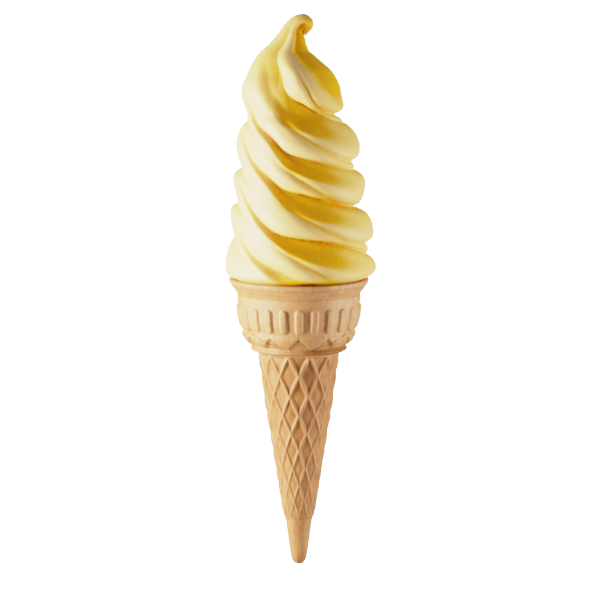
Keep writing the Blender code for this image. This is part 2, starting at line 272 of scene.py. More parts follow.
def skin(name, grid, capStart, capEnd, material, values):
    # a closed skin over rings of points, from one end point to the other
    rows, sides = grid.shape[:2]
    points = np.vstack([laidDown(capStart), laidDown(grid), laidDown(capEnd)])
    points[:, 2] = np.maximum(points[:, 2], overTable)
    i = np.arange(rows - 1)[:, None] * sides + 1
    j = np.arange(sides)[None, :]
    k = (j + 1) % sides
    quads = np.stack([i + j, i + j + sides, i + k + sides, i + k], -1).reshape(-1, 4)
    first = np.stack([0 * j[0], 1 + j[0], 1 + k[0]], -1)
    last = 1 + (rows - 1) * sides
    final = np.stack([0 * j[0] + len(points) - 1, last + k[0], last + j[0]], -1)
    faces = quads.tolist() + first.tolist() + final.tolist()
    mesh = bpy.data.meshes.new(name)
    mesh.from_pydata((points * mm).tolist(), [], faces)
    mesh.polygons.foreach_set("use_smooth", np.ones(len(faces), bool))
    for label, field in values.items():
        size = field.shape[-1] if field.ndim == 3 else 1
        flat = field.reshape(rows * sides, size)
        full = np.vstack([flat[:sides].mean(0), flat, flat[-sides:].mean(0)])
        layer = mesh.attributes.new(label, "FLOAT" if size == 1 else "FLOAT_VECTOR", "POINT")
        layer.data.foreach_set("value" if size == 1 else "vector", full.ravel())
    mesh.materials.append(material)
    mesh.update()
    thing = bpy.data.objects.new(name, mesh)
    bpy.context.scene.collection.objects.link(thing)
    return thing


# the swirl
swirl = {
    "sides": 400, "curlRows": 50, "bodyRows": 196,
    "perDegree": 0.4,           # mm of skin for one degree round
    "dragPitch": 36,            # degrees for one unit of the drag lines' pattern
    # heights of the curl's end and of the body's rows of points, and the end points of the skin
    "top": 228, "curlFoot": 211.3, "bodyFoot": 122,
    "footRows": [121.2, 120.6, 120.0, 119.5, 119.1, 118.6],
    "hookEnd": (3.1, 217.6, 0),
    # height and radius of the plug in the cup, and the middle of its end
    "plug": [(117.8, 24.9), (116.0, 24.0), (112.0, 22.4), (108.0, 22.0)], "plugEnd": (0, 107, 0),
    # height and radius of the outline, folds left out
    "outline": [(211.3, 10.4), (209.6, 12.3), (208.0, 14.0), (206.3, 15.6), (204.7, 17.0),
                (202.2, 18.5), (199.7, 19.6), (196.5, 20.4), (191.9, 20.7), (187.5, 20.9),
                (183.3, 22.7), (173.9, 25.1), (154.9, 27.4), (140.6, 29.4), (124.1, 30.9),
                (122.0, 30.7), (120.6, 29.8), (119.5, 27.6), (119.1, 25.9), (118.6, 25.6)],
    # how far the axis stands across from the wafer's, by height
    "offset": [(211.3, -5.3), (207.2, -4.3), (203.0, -3.1), (194.8, -2.8), (174.3, -0.4),
               (154.9, 0.2), (139.3, 0.8), (126, 1.0), (118.6, 0.0)],
    # the deep fold under each ridge: steep on the left, level on the right where it is the
    # crease between two turns of the coil; azimuth and height
    "folds": [
        [(-180, 338.7), (-90, 309.9), (-60, 289.3), (-20, 268.8), (0, 248.2), (10, 231.8),
         (20, 220.3), (27, 213.3), (30, 210.0), (33, 206.3), (37, 202.2), (42, 199.1),
         (48, 197.3), (56, 195.6), (72, 193.6), (90, 192.3), (180, 191.5)],
        [(-180, 256.5), (-90, 250.3), (-60, 242.1), (-45, 228.5), (-35, 219.5), (-28, 213.7),
         (-22, 209.2), (-18, 205.5), (-15, 202.2), (-12, 199.3), (-9, 197.1), (-5, 195.0),
         (0, 193.4), (6.8, 191.9), (12, 191.3), (25, 188.6), (38.5, 186.6), (57, 184.1),
         (90, 182.1), (180, 182.1)],
        [(-180, 198.9), (-90, 197.7), (-75, 195.6), (-60, 188.8), (-51, 184.9), (-40, 181.6),
         (-30, 178.6), (-22, 175.5), (-15, 172.7), (-7, 171.0), (0, 170.2), (15, 168.7),
         (30, 167.1), (60, 164.4), (90, 162.8), (180, 164.0)],
        [(-180, 182.5), (-90, 181.3), (-75, 179.6), (-60, 174.3), (-50, 169.3), (-40, 165.6),
         (-30, 162.3), (-22, 159.3), (-15, 157.3), (-7, 156.2), (0, 155.6), (15, 153.7),
         (30, 152.1), (60, 149.6), (90, 147.8), (180, 146.3)],
        [(-180, 164.0), (-90, 163.2), (-75, 161.5), (-60, 155.8), (-46, 149.3), (-38, 145.5),
         (-30, 142.2), (-22, 139.7), (-15, 138.4), (-7, 137.7), (0, 137.3), (15, 136.5),
         (30, 135.2), (60, 131.9), (90, 128.2), (180, 128.8)],
        [(-180, 147.5), (-90, 145.5), (-75, 143.0), (-60, 138.6), (-46, 132.3), (-38, 129.6),
         (-30, 127.4), (-20, 125.0), (-10, 123.0), (0, 121.0), (15, 118.4), (30, 116.3),
         (60, 113.4), (90, 111.0), (180, 111.0)],
        [(-180, 129.5), (-90, 127.4), (-75, 124.9), (-60, 119.2), (-46, 111.8), (-30, 106.0),
         (0, 101.5), (90, 92.9), (180, 92.9)]],
    "foldDepth": [(-100, 0.0), (-80, 0.4), (-65, 0.9), (-50, 1.5), (-35, 2.4), (-20, 3.7),
                  (0, 4.4), (30, 4.4), (60, 4.5), (90, 5.0), (180, 3.6)],
    "topFoldDepth": [(-100, 0.0), (-70, 0.6), (-50, 1.8), (-25, 2.6), (-17, 3.0), (-9, 3.4),
                     (0, 4.0), (30, 4.4), (60, 4.4), (90, 4.3), (180, 3.6)],
    # shares of the way down to the next fold where the slope up to the crest starts and ends
    "slope": [[(-45, 0.0), (-20, 0.05), (0, 0.18), (20, 0.22)],
              [(-50, 0.12), (-32, 0.16), (-20, 0.26), (-8, 0.42), (20, 0.56), (60, 0.66)]],
    "topSlope": [[(-60, 0.42), (-30, 0.46), (-15, 0.38), (0, 0.25), (20, 0.22)],
                 [(-60, 0.66), (-30, 0.72), (-15, 0.66), (0, 0.55), (20, 0.58), (60, 0.66)]],
    # how far a ridge's crest stands above the fold under it
    "topCrestAbove": [(-40, 30.0), (-18, 25.0), (-5, 18.0), (5, 11.0), (20, 6.5), (45, 6.2),
                      (90, 9.0), (180, 9.8)],
    "crestAbove": [(-60, 9.0), (-30, 7.5), (0, 5.6), (20, 5.3), (45, 6.6), (90, 10.8), (180, 9.8)],
    "roundTop": [(5, 0.0), (45, 0.6), (90, 1.0)],
    "topRoundFoot": [(-10, 0.1), (10, 0.5), (30, 1.0), (55, 0.9), (90, 0.0), (180, 0.4)],
    "roundFoot": [(-50, 0.3), (-20, 0.7), (0, 1.0), (60, 1.0), (90, 0.05), (180, 0.4)],
    "floorSink": 0.12,          # how much lower the fold's floor is at its start than at its end
    "footPower": 1.7,           # how suddenly an overhanging crest drops into the next fold
    # heights between which the coil's folds give way to those of the pointed top, and where
    # they fade out over the rim
    "pointedFrom": (201, 210), "footFade": (119.6, 123.6),
    # painted shade in gold: on the floor, haze and whole of each fold from the top down, the slope
    # up to the crest, the edge and how fast it fades, and what hangs over a fold
    "floorTint": [0.5, 0.85, 0.5, 0.5, 0.5, 0.5],
    "hazeTint": [0.15, 0.15, 0.4, 0.4, 0.4, 0.4], "hazeReach": 0.22,
    "wholeTint": [1, 1, 1, 1, 1, 0.5],
    "slopeTint": 3, "edgeTint": 0.2, "edgeFade": 30, "overhangTint": 0.4,
    "grooveTint": 1.3, "coilTint": 0.2, "coilLit": 0.2, "topTint": 9, "topTintWidth": 1.25,
    "fullTint": 4.0,            # the painted shade that counts as fully golden
    "amberFrom": 0.8,           # past this share of the colour ramp lies the painted amber
    "amberUntil": (120, 121), "amberAt": 8, "amberWidth": 22,
    # painted shade: more gold on the side away from the window, by azimuth, and at its top and its
    # foot
    "awayFrom": (10, 40), "awayUntil": (110, 150), "awayTint": 0.5,
    "awayTop": (182, 190), "awayTopTint": 0.7, "awayFoot": (120, 125), "awayFootTint": 0.5,
    # painted shade in gold on the hook, a painted glow at its end; places along the curl, 0 at the
    # hanging end
    "hookUntil": (0.34, 0.5), "hookTint": 1.7, "hookEndUntil": (0.1, 0.2), "hookEndTint": 0.7,
    # and the hook is fuller on its inside, which leaves a dimple there and no hole
    "fullUntil": (0.45, 0.62), "fullness": 0.6,
    # how strong the painted shade in the folds is round the swirl, by azimuth
    "topLit": [(-75, 0.05), (-50, 0.2), (-38, 0.35), (-25, 0.5), (-10, 0.75), (5, 1.0), (18, 1.1),
               (28, 0.8), (44, 0.4), (65, 0.15)],
    "lit": [(-75, 0.1), (-50, 0.25), (-32, 0.4), (-20, 0.7), (-8, 1.0), (5, 1.15), (18, 1.1),
            (28, 0.8), (44, 0.4), (65, 0.15)],
    # the coil's creases on the left and the back
    "creases": [
        [(-180, 191.5), (-90, 201.4), (-40, 195.6)],
        [(-180, 182.1), (-90, 183.1), (-52, 180.0), (-40, 177.6)],
        [(-180, 164.0), (-90, 163.6), (-50, 159.1), (-40, 157.0)],
        [(-180, 146.3), (-90, 149.6), (-50, 144.6), (-40, 142.2)],
        [(-180, 128.8), (-90, 135.6), (-50, 128.4), (-40, 125.4)],
        [(-180, 111.0), (-90, 114.3), (-40, 108.5)]],
    "creaseDepth": [(-180, 3.6), (-90, 4.2), (-75, 3.0), (-60, 1.8), (-50, 0.8), (-42, 0.0)],
    "creaseAbove": [(-180, 9.8), (-90, 10.8)],
    "creaseFoot": [(-180, 0.5), (-90, 0.0)],
    # the thin groove that runs down the side of each ridge
    "topGrooveWidth": 1.1, "grooveWidth": 1.3, "slitWidth": 0.6, "grooveFlank": 1.5,
    "topGrooveDepth": [(7, 0.0), (10, 0.5), (16, 1.1), (30, 1.7), (60, 3.2), (90, 4.8), (130, 0.0)],
    "slitSides": range(-30, 84, 6),     # azimuths of the points that a slit runs through
    # the sharp slits where one turn of the coil lies on the next, by azimuth, top fold first
    "slits": [[(0, 0), (6, 1.0), (24, 1.0), (36, 0.0)], [(10, 0), (20, 0.5), (40, 0.6), (60, 0)],
              [(-4, 0), (6, 1.2), (50, 1.4), (70, 0.6), (80, 0)],
              [(-26, 0), (-14, 1.2), (0, 1.8), (60, 2.0), (80, 1.0), (90, 0)],
              [(0, 0), (90, 0)]],
    "topGroove": [(8, 208.0), (9, 203.9), (10, 201.8), (14, 199.3), (19, 196.0), (23, 193.2),
                  (29.5, 190.1), (38, 188.2), (60, 186.2), (90, 185.4), (130, 184.9)],
    "grooveStart": [180.2, 161.5, 146.7, 127.8],
    "grooveDrop": [(-24, -8.0), (-17, -5.3), (-8, -2.9), (0, 0.0), (20, 6.0), (40, 10.7), (60, 12.7),
                   (90, 13.6), (120, 14.0)],
    "grooveDepth": [(-24, 0.0), (-15, 0.6), (-5, 1.0), (5, 1.3), (20, 1.5), (50, 1.9), (90, 2.6),
                    (130, 0.0)],
    "topFlank": 1.6,            # how steep the slopes of the pointed top's folds are
    # the folds of the pointed top: azimuth and share of the radius cut, by height, and the
    # width and the painted shade of the slope on each side
    "topFolds": [
        ([(200, -20), (205, -21), (209, -22), (211.3, -21), (214, -20), (217, -22),
          (219.5, -27), (223.6, -32), (228, -40)],
         [(195, 0.0), (199, 0.05), (203, 0.12), (207, 0.18), (211, 0.19), (216, 0.15),
          (220, 0.08), (224, 0.02)], 32, 12, (1.1, 0.2)),
        ([(192, 66), (196, 56), (199, 49), (203, 43), (207, 36.5), (211, 31.5), (215, 27),
          (217.6, 22), (220, 19), (222.5, 10), (224.5, -2), (226, -20), (228, -36)],
         [(189, 0.0), (193, 0.05), (198, 0.13), (202, 0.2), (207, 0.25), (212, 0.34),
          (218, 0.4), (220, 0.34), (222, 0.2), (224.5, 0.06), (228, 0.0)], 10, 34, (2.4, 2.7)),
        ([(199, 112), (207, 104), (215, 108), (228, 112)],
         [(197, 0.0), (205, 0.12), (211, 0.15), (222, 0.1), (228, 0.0)], 18, 18, (1, 1)),
        ([(199, 174), (207, 166), (228, 166)],
         [(197, 0.0), (205, 0.12), (211, 0.15), (222, 0.1), (228, 0.0)], 18, 18, (1, 1)),
        ([(199, -104), (207, -112), (215, -120), (228, -128)],
         [(197, 0.0), (205, 0.12), (211, 0.16), (222, 0.1), (228, 0.0)], 18, 18, (1, 1)),
    ],
    # left and right ends of rings along the curl, from its hanging end back to the swirl
    "curl": [((3.7, 218.4), (2.0, 217.6)), ((5.0, 219.8), (1.7, 218.0)),
             ((6.0, 221.5), (1.6, 218.8)), ((5.9, 223.5), (1.8, 219.4)),
             ((4.3, 225.5), (2.1, 219.8)), ((1.8, 226.5), (2.2, 219.9)),
             ((-1.0, 226.1), (2.1, 219.6)), ((-3.7, 224.5), (1.9, 219.0)),
             ((-5.6, 222.6), (1.9, 218.0)), ((-7.2, 220.5), (2.5, 217.3)),
             ((-8.6, 218.5), (3.0, 216.2)), ((-10.5, 216.1), (3.4, 214.5)),
             ((-12.9, 213.7), (4.1, 212.9)), ((-15.7, 211.3), (5.1, 211.3))],
}


def arch(x, soft=0.03):
    # 0 at the crest and 1 in the fold, round like the side of a rope
    return 1 - np.sqrt((1 - x ** 2 + soft) / (1 + soft))


def ridges(height, lines, depths, slopes, crests, roundTop, roundFoot, lit):
    # how deep the skin lies between each fold line and the next one down, and how much painted shade
    # it gets
    deep = np.zeros(height.shape)
    shade = np.zeros(height.shape)
    for i in range(len(lines) - 1):
        span = lines[i] - lines[i + 1]
        share = np.clip((lines[i] - height) / span, 0, 1)
        crest = 1 - (crests[0] if i == 0 else crests[1]) / span
        start, end = slopes[min(i, 2)]
        rise = np.clip((share - start) / (end - start), 0, 1)
        low = 1 - easedStep(share, start, end)
        up = np.clip(1 - share / crest, 0, 1)
        down = np.clip((share - crest) / (1 - crest), 0, 1)
        top = low * (1 - swirl["floorSink"] * share / end) * (1 - roundTop) + arch(up) * roundTop
        roundish = roundFoot[0] if i == 0 else roundFoot[1]
        foot = down ** swirl["footPower"] * (1 - roundish) + arch(down) * roundish
        inside = (height <= lines[i]) & (height > lines[i + 1])
        deep = np.where(inside, depths[i] * top + depths[i + 1] * foot, deep)
        # painted shade in gold on the fold's floor, its slope and edge, and under an overhanging
        # crest
        gold = swirl["floorTint"][i] * low + swirl["slopeTint"] * rise * (1 - rise)
        gold = gold + swirl["edgeTint"] * np.exp(-share * swirl["edgeFade"])
        haze = swirl["hazeTint"][i] * (1 - easedStep(share, start, end + swirl["hazeReach"]))
        gold = (gold + haze) * (lit[0] if i < 2 else lit[1]) * swirl["wholeTint"][i]
        gold = gold * (1 - roundTop) + roundTop * up * swirl["overhangTint"]
        below = down ** 3 * swirl["hazeTint"][i] * lit[1]
        shade = np.where(inside, depths[i] * gold + depths[i + 1] * below, shade)
    return deep, shade


def grooveAt(azimuth, height, line, depth, width):
    # a thin groove along a line of azimuths and heights, as deep as the depth says
    spots = np.array(line, float) * (swirl["perDegree"], 1)
    across = azimuth * swirl["perDegree"]
    nearest = np.full(height.shape, 1e6)
    for start, end in zip(spots[:-1], spots[1:]):
        along = end - start
        share = (across - start[0]) * along[0] + (height - start[1]) * along[1]
        share = np.clip(share / (along @ along), 0, 1)
        away = np.hypot(across - start[0] - share * along[0],
                        height - start[1] - share * along[1])
        nearest = np.minimum(nearest, away)
    return depth * np.exp(-(nearest / width) ** swirl["grooveFlank"])


def topDepth(azimuth, height):
    # the share of the radius that the folds of the pointed top cut, and their painted shade
    depth = 0
    shade = 0
    for line, share, left, right, weight in swirl["topFolds"]:
        away = apart(azimuth, through(height, line))
        away = np.where(away < 0, away / left, away / right)
        cut = through(height, share) * np.exp(-np.abs(away) ** swirl["topFlank"])
        depth = depth + cut
        reach = swirl["topTint"] * through(height, share) * bell(away, 0, swirl["topTintWidth"])
        shade = shade + reach * np.where(away < 0, weight[0], weight[1])
    return depth, shade


def swirlSurface(azimuth, height):
    # a point of the body, its painted shade, and its place in the drag lines
    def by(name):
        return through(azimuth, swirl[name])

    depth = by("foldDepth")
    slopes = [[through(azimuth, points) for points in swirl[name]]
              for name in ("topSlope", "topSlope", "slope")]
    main, mainShade = ridges(height, [through(azimuth, line) for line in swirl["folds"]],
                             [0 * depth, by("topFoldDepth")] + [depth] * 5, slopes,
                             [by("topCrestAbove"), by("crestAbove")], by("roundTop"),
                             [by("topRoundFoot"), by("roundFoot")], [by("topLit"), by("lit")])
    depth = by("creaseDepth")
    coils, coilShade = ridges(height, [through(azimuth, line) for line in swirl["creases"]],
                              [0 * depth] + [depth] * 5, [(0, 1)] * 3, [by("creaseAbove")] * 2,
                              np.ones(height.shape), [by("creaseFoot")] * 2,
                              [swirl["coilLit"]] * 2)
    grooves = grooveAt(azimuth, height, swirl["topGroove"], by("topGrooveDepth"),
                       swirl["topGrooveWidth"])
    for line, slit in zip(swirl["folds"][1:], swirl["slits"]):
        finer = [(side, through(side, line)) for side in swirl["slitSides"]]
        grooves = grooves + grooveAt(azimuth, height, finer, through(azimuth, slit),
                                     swirl["slitWidth"])
    for start in swirl["grooveStart"]:
        line = [(side, start - drop) for side, drop in swirl["grooveDrop"]]
        grooves = grooves + grooveAt(azimuth, height, line, by("grooveDepth"),
                                     swirl["grooveWidth"])
    outline = through(height, swirl["outline"])
    rimTop, free = swirl["footFade"]
    foot = np.clip((height - rimTop) / (free - rimTop), 0, 1)
    pointed = easedStep(height, *swirl["pointedFrom"])
    cut, cutShade = topDepth(azimuth, height)
    folds = (main + coils + grooves) * foot * (1 - pointed) + outline * cut
    # painted shade in gold from the folds, the coil's creases and the grooves
    shade = mainShade + swirl["coilTint"] * coilShade + swirl["grooveTint"] * grooves * by("lit")
    shade = shade * (1 - pointed) + cutShade
    # painted shade: more gold on the side away from the window, and more at its top and its foot
    away = easedStep(azimuth, *swirl["awayFrom"]) * easedDrop(azimuth, *swirl["awayUntil"])
    tint = swirl["awayTint"] + swirl["awayTopTint"] * easedStep(height, *swirl["awayTop"])
    tint = tint + swirl["awayFootTint"] * easedDrop(height, *swirl["awayFoot"])
    shade = shade + tint * away
    radius = outline - folds
    angle = np.radians(azimuth)
    points = np.stack([through(height, swirl["offset"]) + radius * np.sin(angle), height,
                       radius * np.cos(angle)], -1)
    flow = np.stack([azimuth / swirl["dragPitch"] + 0 * height, folds, 0 * height], -1)
    return points, shade, flow


def curlSurface(azimuth, place):
    # rings of the curl; place runs from 0 at its hanging end to 1 at the swirl
    ends = np.array(swirl["curl"])
    steps = np.linspace(0, 1, len(ends))
    coords = [through(place, np.column_stack([steps, ends[:, i, j]])) for i, j in
              ((0, 0), (0, 1), (1, 0), (1, 1))]
    left, right = np.stack(coords[:2], -1), np.stack(coords[2:], -1)
    height = swirl["top"] - place * (swirl["top"] - swirl["curlFoot"])
    reach = np.linalg.norm(right - left, axis=-1) / 2
    across = (right - left) / (2 * reach[..., None])
    cut, cutShade = topDepth(azimuth, height)
    swing = np.sin(np.radians(azimuth)) * reach * (1 - cut)
    flat = (left + right) / 2 + swing[..., None] * across
    roundness = swirl["fullness"] * (azimuth > 0) * easedDrop(place, *swirl["fullUntil"])
    front = np.cos(np.radians(azimuth))
    front = np.sign(front) * np.abs(front) ** (1 - roundness) * reach * (1 - cut)
    points = np.stack([flat[..., 0], flat[..., 1], front], -1)
    flow = np.stack([azimuth / swirl["dragPitch"], 0 * height, -place + 0 * azimuth], -1)
    # painted shade in gold on the hook, and a painted golden glow at its hanging end
    hook = swirl["hookTint"] * easedDrop(place, *swirl["hookUntil"])
    hook = hook + swirl["hookEndTint"] * easedDrop(place, *swirl["hookEndUntil"])
    return points, cutShade + hook, flow


custard = {
    # from a crest through the painted shade gold of the folds to the painted amber by the rim
    "colours": [(0.0, "#f3c77a"), (0.24, "#eec062"), (0.56, "#e6a606"), (0.82, "#e6a606"),
                (1.0, "#b46204")],
    "cloudSize": 45.0, "cloudiness": 0.13, "iceGrain": 1400.0, "dragLines": (1, 30, 3),
    "dragShare": 0.6,           # how strong the drag lines are beside the ice grain
    "bump": 0.25, "roughness": 0.58, "glossOnCrest": 0.85, "glossInFold": 0.1,
    "glossUntil": 0.48,         # how much painted shade a fold has where the gloss has gone
    "depth": 0.003,             # how far light goes in, in m
}


def iceCream():
    # custard soft serve: dense, smooth and cold-matt; light goes a few mm in, the folds carry
    # painted shade in deep gold, and fine ice grain and drag lines from the nozzle show on the skin
    material, tree = newMaterial("custard soft serve")
    foldShade = addNode(tree, "ShaderNodeAttribute", attribute_name="foldShade")
    place = addNode(tree, "ShaderNodeTexCoord")
    cloudy = addNode(tree, "ShaderNodeTexNoise", {"Vector": place.outputs["Object"],
                                                  "Scale": custard["cloudSize"],
                                                  "Detail": 4.0})
    uneven = addNode(tree, "ShaderNodeMath", {0: cloudy.outputs["Fac"],
                                              1: custard["cloudiness"],
                                              2: -custard["cloudiness"] / 2},
                     operation="MULTIPLY_ADD")
    deep = addNode(tree, "ShaderNodeMath", {0: foldShade.outputs["Fac"], 1: uneven.outputs[0]},
                   operation="ADD")
    tint = addRamp(tree, deep.outputs[0], custard["colours"])
    grain = addNode(tree, "ShaderNodeTexNoise", {"Vector": place.outputs["Object"],
                                                 "Scale": custard["iceGrain"], "Detail": 3.0})
    flow = addNode(tree, "ShaderNodeAttribute", attribute_name="flow")
    stretch = addNode(tree, "ShaderNodeVectorMath", {0: flow.outputs["Vector"],
                                                     1: custard["dragLines"]},
                      operation="MULTIPLY")
    drag = addNode(tree, "ShaderNodeTexNoise", {"Vector": stretch.outputs[0], "Scale": 1.0,
                                                "Detail": 3.0})
    rough = addNode(tree, "ShaderNodeMath", {0: drag.outputs["Fac"],
                                             1: custard["dragShare"],
                                             2: grain.outputs["Fac"]}, operation="MULTIPLY_ADD")
    bump = addNode(tree, "ShaderNodeBump", {"Height": rough.outputs[0],
                                            "Strength": custard["bump"],
                                            "Distance": 0.0003})
    # less gloss where shade is painted, so that no pale gloss greys the painted gold
    gloss = addNode(tree, "ShaderNodeMapRange", {"Value": foldShade.outputs["Fac"],
                                                 1: 0.0, 2: custard["glossUntil"],
                                                 3: custard["glossOnCrest"],
                                                 4: custard["glossInFold"]})
    shader = addNode(tree, "ShaderNodeBsdfPrincipled", {
        "Base Color": tint.outputs["Color"], "Normal": bump.outputs[0],
        "Roughness": custard["roughness"], "IOR": 1.45, "Specular IOR Level": gloss.outputs[0],
        "Subsurface Weight": 0.5, "Subsurface Radius": (1.0, 0.7, 0.22),
        "Subsurface Scale": custard["depth"]})
    addNode(tree, "ShaderNodeOutputMaterial", {"Surface": shader.outputs[0]})
    return material


def addSwirl():
    azimuth = np.arange(swirl["sides"])[None, :] * 360 / swirl["sides"] - 180
    place = np.linspace(0, 1, swirl["curlRows"], endpoint=False)[:, None]
    height = np.linspace(swirl["curlFoot"], swirl["bodyFoot"], swirl["bodyRows"])
    height = np.concatenate([height, swirl["footRows"]])[:, None]
    azimuthBody, height = np.broadcast_arrays(azimuth, height)
    body, bodyShade, bodyFlow = swirlSurface(azimuthBody, height)
    azimuthCurl, place = np.broadcast_arrays(azimuth, place)
    curl, curlShade, curlFlow = curlSurface(azimuthCurl, place)
    angle = np.radians(azimuth[0])
    plug = np.array([np.column_stack([r * np.sin(angle), 0 * angle + h, r * np.cos(angle)])
                     for h, r in swirl["plug"]])
    grid = np.vstack([curl, body, plug])
    # the plug down in the cup takes the full painted shade
    foldShade = np.vstack([curlShade, bodyShade, np.full(plug.shape[:2], swirl["fullTint"])])
    # painted amber on the foot by the rim, for the shade under the coil and a glow through the thin
    # foot
    footShade = bell(azimuthBody, swirl["amberAt"], swirl["amberWidth"])
    footShade = footShade * easedDrop(height, *swirl["amberUntil"])
    amber = np.vstack([0 * curlShade, footShade, np.zeros(plug.shape[:2])])
    foldShade = swirl["amberFrom"] * np.clip(foldShade / swirl["fullTint"], 0, 1)
    foldShade = foldShade + (1 - foldShade) * amber
    flow = np.vstack([curlFlow, bodyFlow, np.zeros(plug.shape)])
    thing = skin("softServe", grid, swirl["hookEnd"], swirl["plugEnd"], iceCream(),
                 {"foldShade": foldShade, "flow": flow})
    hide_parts("soft_serve")
    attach(thing, "root")
    return thing


# the wafer
wafer = {
    "sides": 360,
    # height and radius down the outside of the cup and the cone, and down the hollow inside
    "cup": [(118.6, 28.5), (118.3, 28.6), (117.4, 28.4), (116.4, 27.9), (114.6, 26.6),
            (113.2, 25.5), (112.4, 25.2), (111.0, 25.2), (108.2, 24.9), (103.5, 24.4),
            (98.8, 23.2), (95.0, 22.1), (93.2, 20.9), (91.9, 19.4), (91.3, 19.2), (90.8, 19.5),
            (90.1, 19.8), (89.7, 19.6), (89.2, 18.9), (88.8, 17.6), (88.5, 16.9), (88.0, 16.7),
            (66.8, 13.7), (50.5, 11.1), (35.6, 8.8), (22.5, 6.7), (20.5, 6.2), (19.4, 5.6),
            (15.9, 5.1), (7.9, 4.0), (2.9, 3.2), (1.0, 2.3), (0.3, 1.3)],
    "hollow": [(118.6, 26.2), (116.0, 24.6), (111.0, 23.0), (104.0, 22.3)],
    # heights of the rows of crossings down the lower cone, and the diamonds in one row
    "rows": [88.2, 80.0, 71.6, 63.6, 55.9, 48.9, 41.2, 34.3, 27.5, 21.3],
    "across": 12, "ridgeWidth": 0.1,
    "latticeFrom": (20.0, 21.5), "latticeUntil": (87.7, 88.2),
    # the lattice stands out its full relief where the cone has this radius, and less below it
    "fullRadius": 15, "finerPower": 1.4,
    "ringFrom": (88.7, 89.3), "ringUntil": (91.0, 92.2),
    # azimuths of the mould's parting strips, and the half width in degrees where they fade
    "strips": (72, -108), "stripFade": (15, 24),
    # the bars round the cup: degrees from one to the next, mm of wall for one degree, height,
    # half length and where their edge falls off
    "barPitch": 15, "perDegree": 0.426, "barHeight": 103.5, "barHalf": 3.4, "barEdge": (1.1, 1.7),
    # the lobes at the cup's foot: degrees from one to the next, top, depth and slant
    "lobePitch": 30, "lobeTop": 96.3, "lobeDeep": 5.4, "lobeSlant": 0.92, "lobePower": 0.8,
    # how soft a lobe's side is, as a share of half the pitch, and where lobes start and end
    "lobeSide": (-0.06, 0.06), "lobeFrom": (91.4, 92.4), "lobeUntil": (96, 98),
    # middle and width of the raised edge round each lobe, and where edges start and end
    "edge": (-0.1, 0.09), "edgeFrom": (91.0, 92.0), "edgeUntil": (96.4, 97.6),
    # the swags: height and width of the line, degrees from one low point to the next, how far
    # and how suddenly they climb, and the share of their sweep where they come in
    "swag": (90.5, 0.45), "swagPitch": 120, "swagRise": 8.5, "swagPower": 1.6,
    "swagFrom": (0.15, 0.4),
    # middle and width of the slit under the rolled rim, how far it wavers in mm, and in how
    # many waves round the cup
    "slit": (116.2, 0.25), "slitWaver": 0.15, "slitWaves": 3,
    # the waves that leave the rim ragged: share, number round the cup and start in degrees
    "ragged": [(1, 7, 0), (0.7, 17, 50)], "raggedFrom": (116.8, 118.4),
    "stripLines": 30,           # fine lines round the cone, seen on the parting strips alone
    # where it is browner, with painted shade: azimuth and width of the side away from the window,
    # of the ring's darkest shade and of the rim's, height and width of the shade under the lip at
    # the shoulder, and where the others start and end
    "shadeSide": (40, 45), "ringShadeDarkest": (62, 30), "rimShadeDarkest": (10, 30),
    "shoulder": (112.6, 0.5), "rimFrom": (118.0, 118.5), "shadedEdgeFrom": (91, 92.4),
    "betweenFrom": (91.5, 96), "betweenUntil": (93, 97), "lowerConeUntil": (84, 88),
    # how far each feature stands out of the wall, in mm
    "relief": {"ridges": 0.85, "cells": -0.4, "bars": 0.85, "lobes": 0.85, "edges": 0.3,
               "lines": 0.16, "slit": -0.25, "swag": -0.4, "ragged": 0.12},
    # how much browner each feature is, with crust and painted shade, on a scale from pale to dark
    # crust
    "crustAndShade": {"wall": 0.3, "cells": 0.2, "shadedCells": 0.12, "ring": 0.1, "shadedRing": 0.56,
              "ringShadeDarkest": 1.0, "shoulder": 0.3, "slit": 0.35, "betweenLobes": 0.25,
              "edges": 0.5, "swag": 0.4, "rim": 0.4, "lowerCone": 0.2},
    "insideToast": 0.3,
    # rows of points down the outside: from, to, number
    "outerRows": [(118.6, 112, 24), (112, 95, 44), (95, 86, 44), (86, 19, 118), (19, 1, 16)],
    "tipRows": [1.0, 0.6, 0.3], "innerEnd": (0, 103.5, 0), "tip": (0, 0, 0),
}


def lattice(azimuth, height):
    # 1 on the crossing ridges, 0 in the cells; both fade at the mould's parting strips
    rows = np.array(wafer["rows"])
    step = np.interp(height, rows[::-1], np.arange(len(rows))[::-1])
    pitch = 360 / wafer["across"]
    first = (azimuth / pitch - step / 2 + 0.5) % 1
    second = (azimuth / pitch + step / 2 + 0.5) % 1
    away = np.minimum(np.minimum(first, 1 - first), np.minimum(second, 1 - second))
    ridge = bell(away, 0, wafer["ridgeWidth"])
    inside = easedStep(height, *wafer["latticeFrom"]) * easedDrop(height, *wafer["latticeUntil"])
    strip = partingStrip(azimuth)
    return ridge * inside * (1 - strip), inside, strip


def partingStrip(azimuth):
    # where the two halves of the mould met
    strip = 0
    for middle in wafer["strips"]:
        strip = strip + easedDrop(np.abs(apart(azimuth, middle)), *wafer["stripFade"])
    return strip


def barsAt(azimuth, height):
    # a row of upright rounded bars round the cup
    away = np.abs(apart(azimuth, turn=wafer["barPitch"])) * wafer["perDegree"]
    along = np.maximum(np.abs(height - wafer["barHeight"]) - wafer["barHalf"], 0)
    return easedDrop(np.hypot(away, along), *wafer["barEdge"])


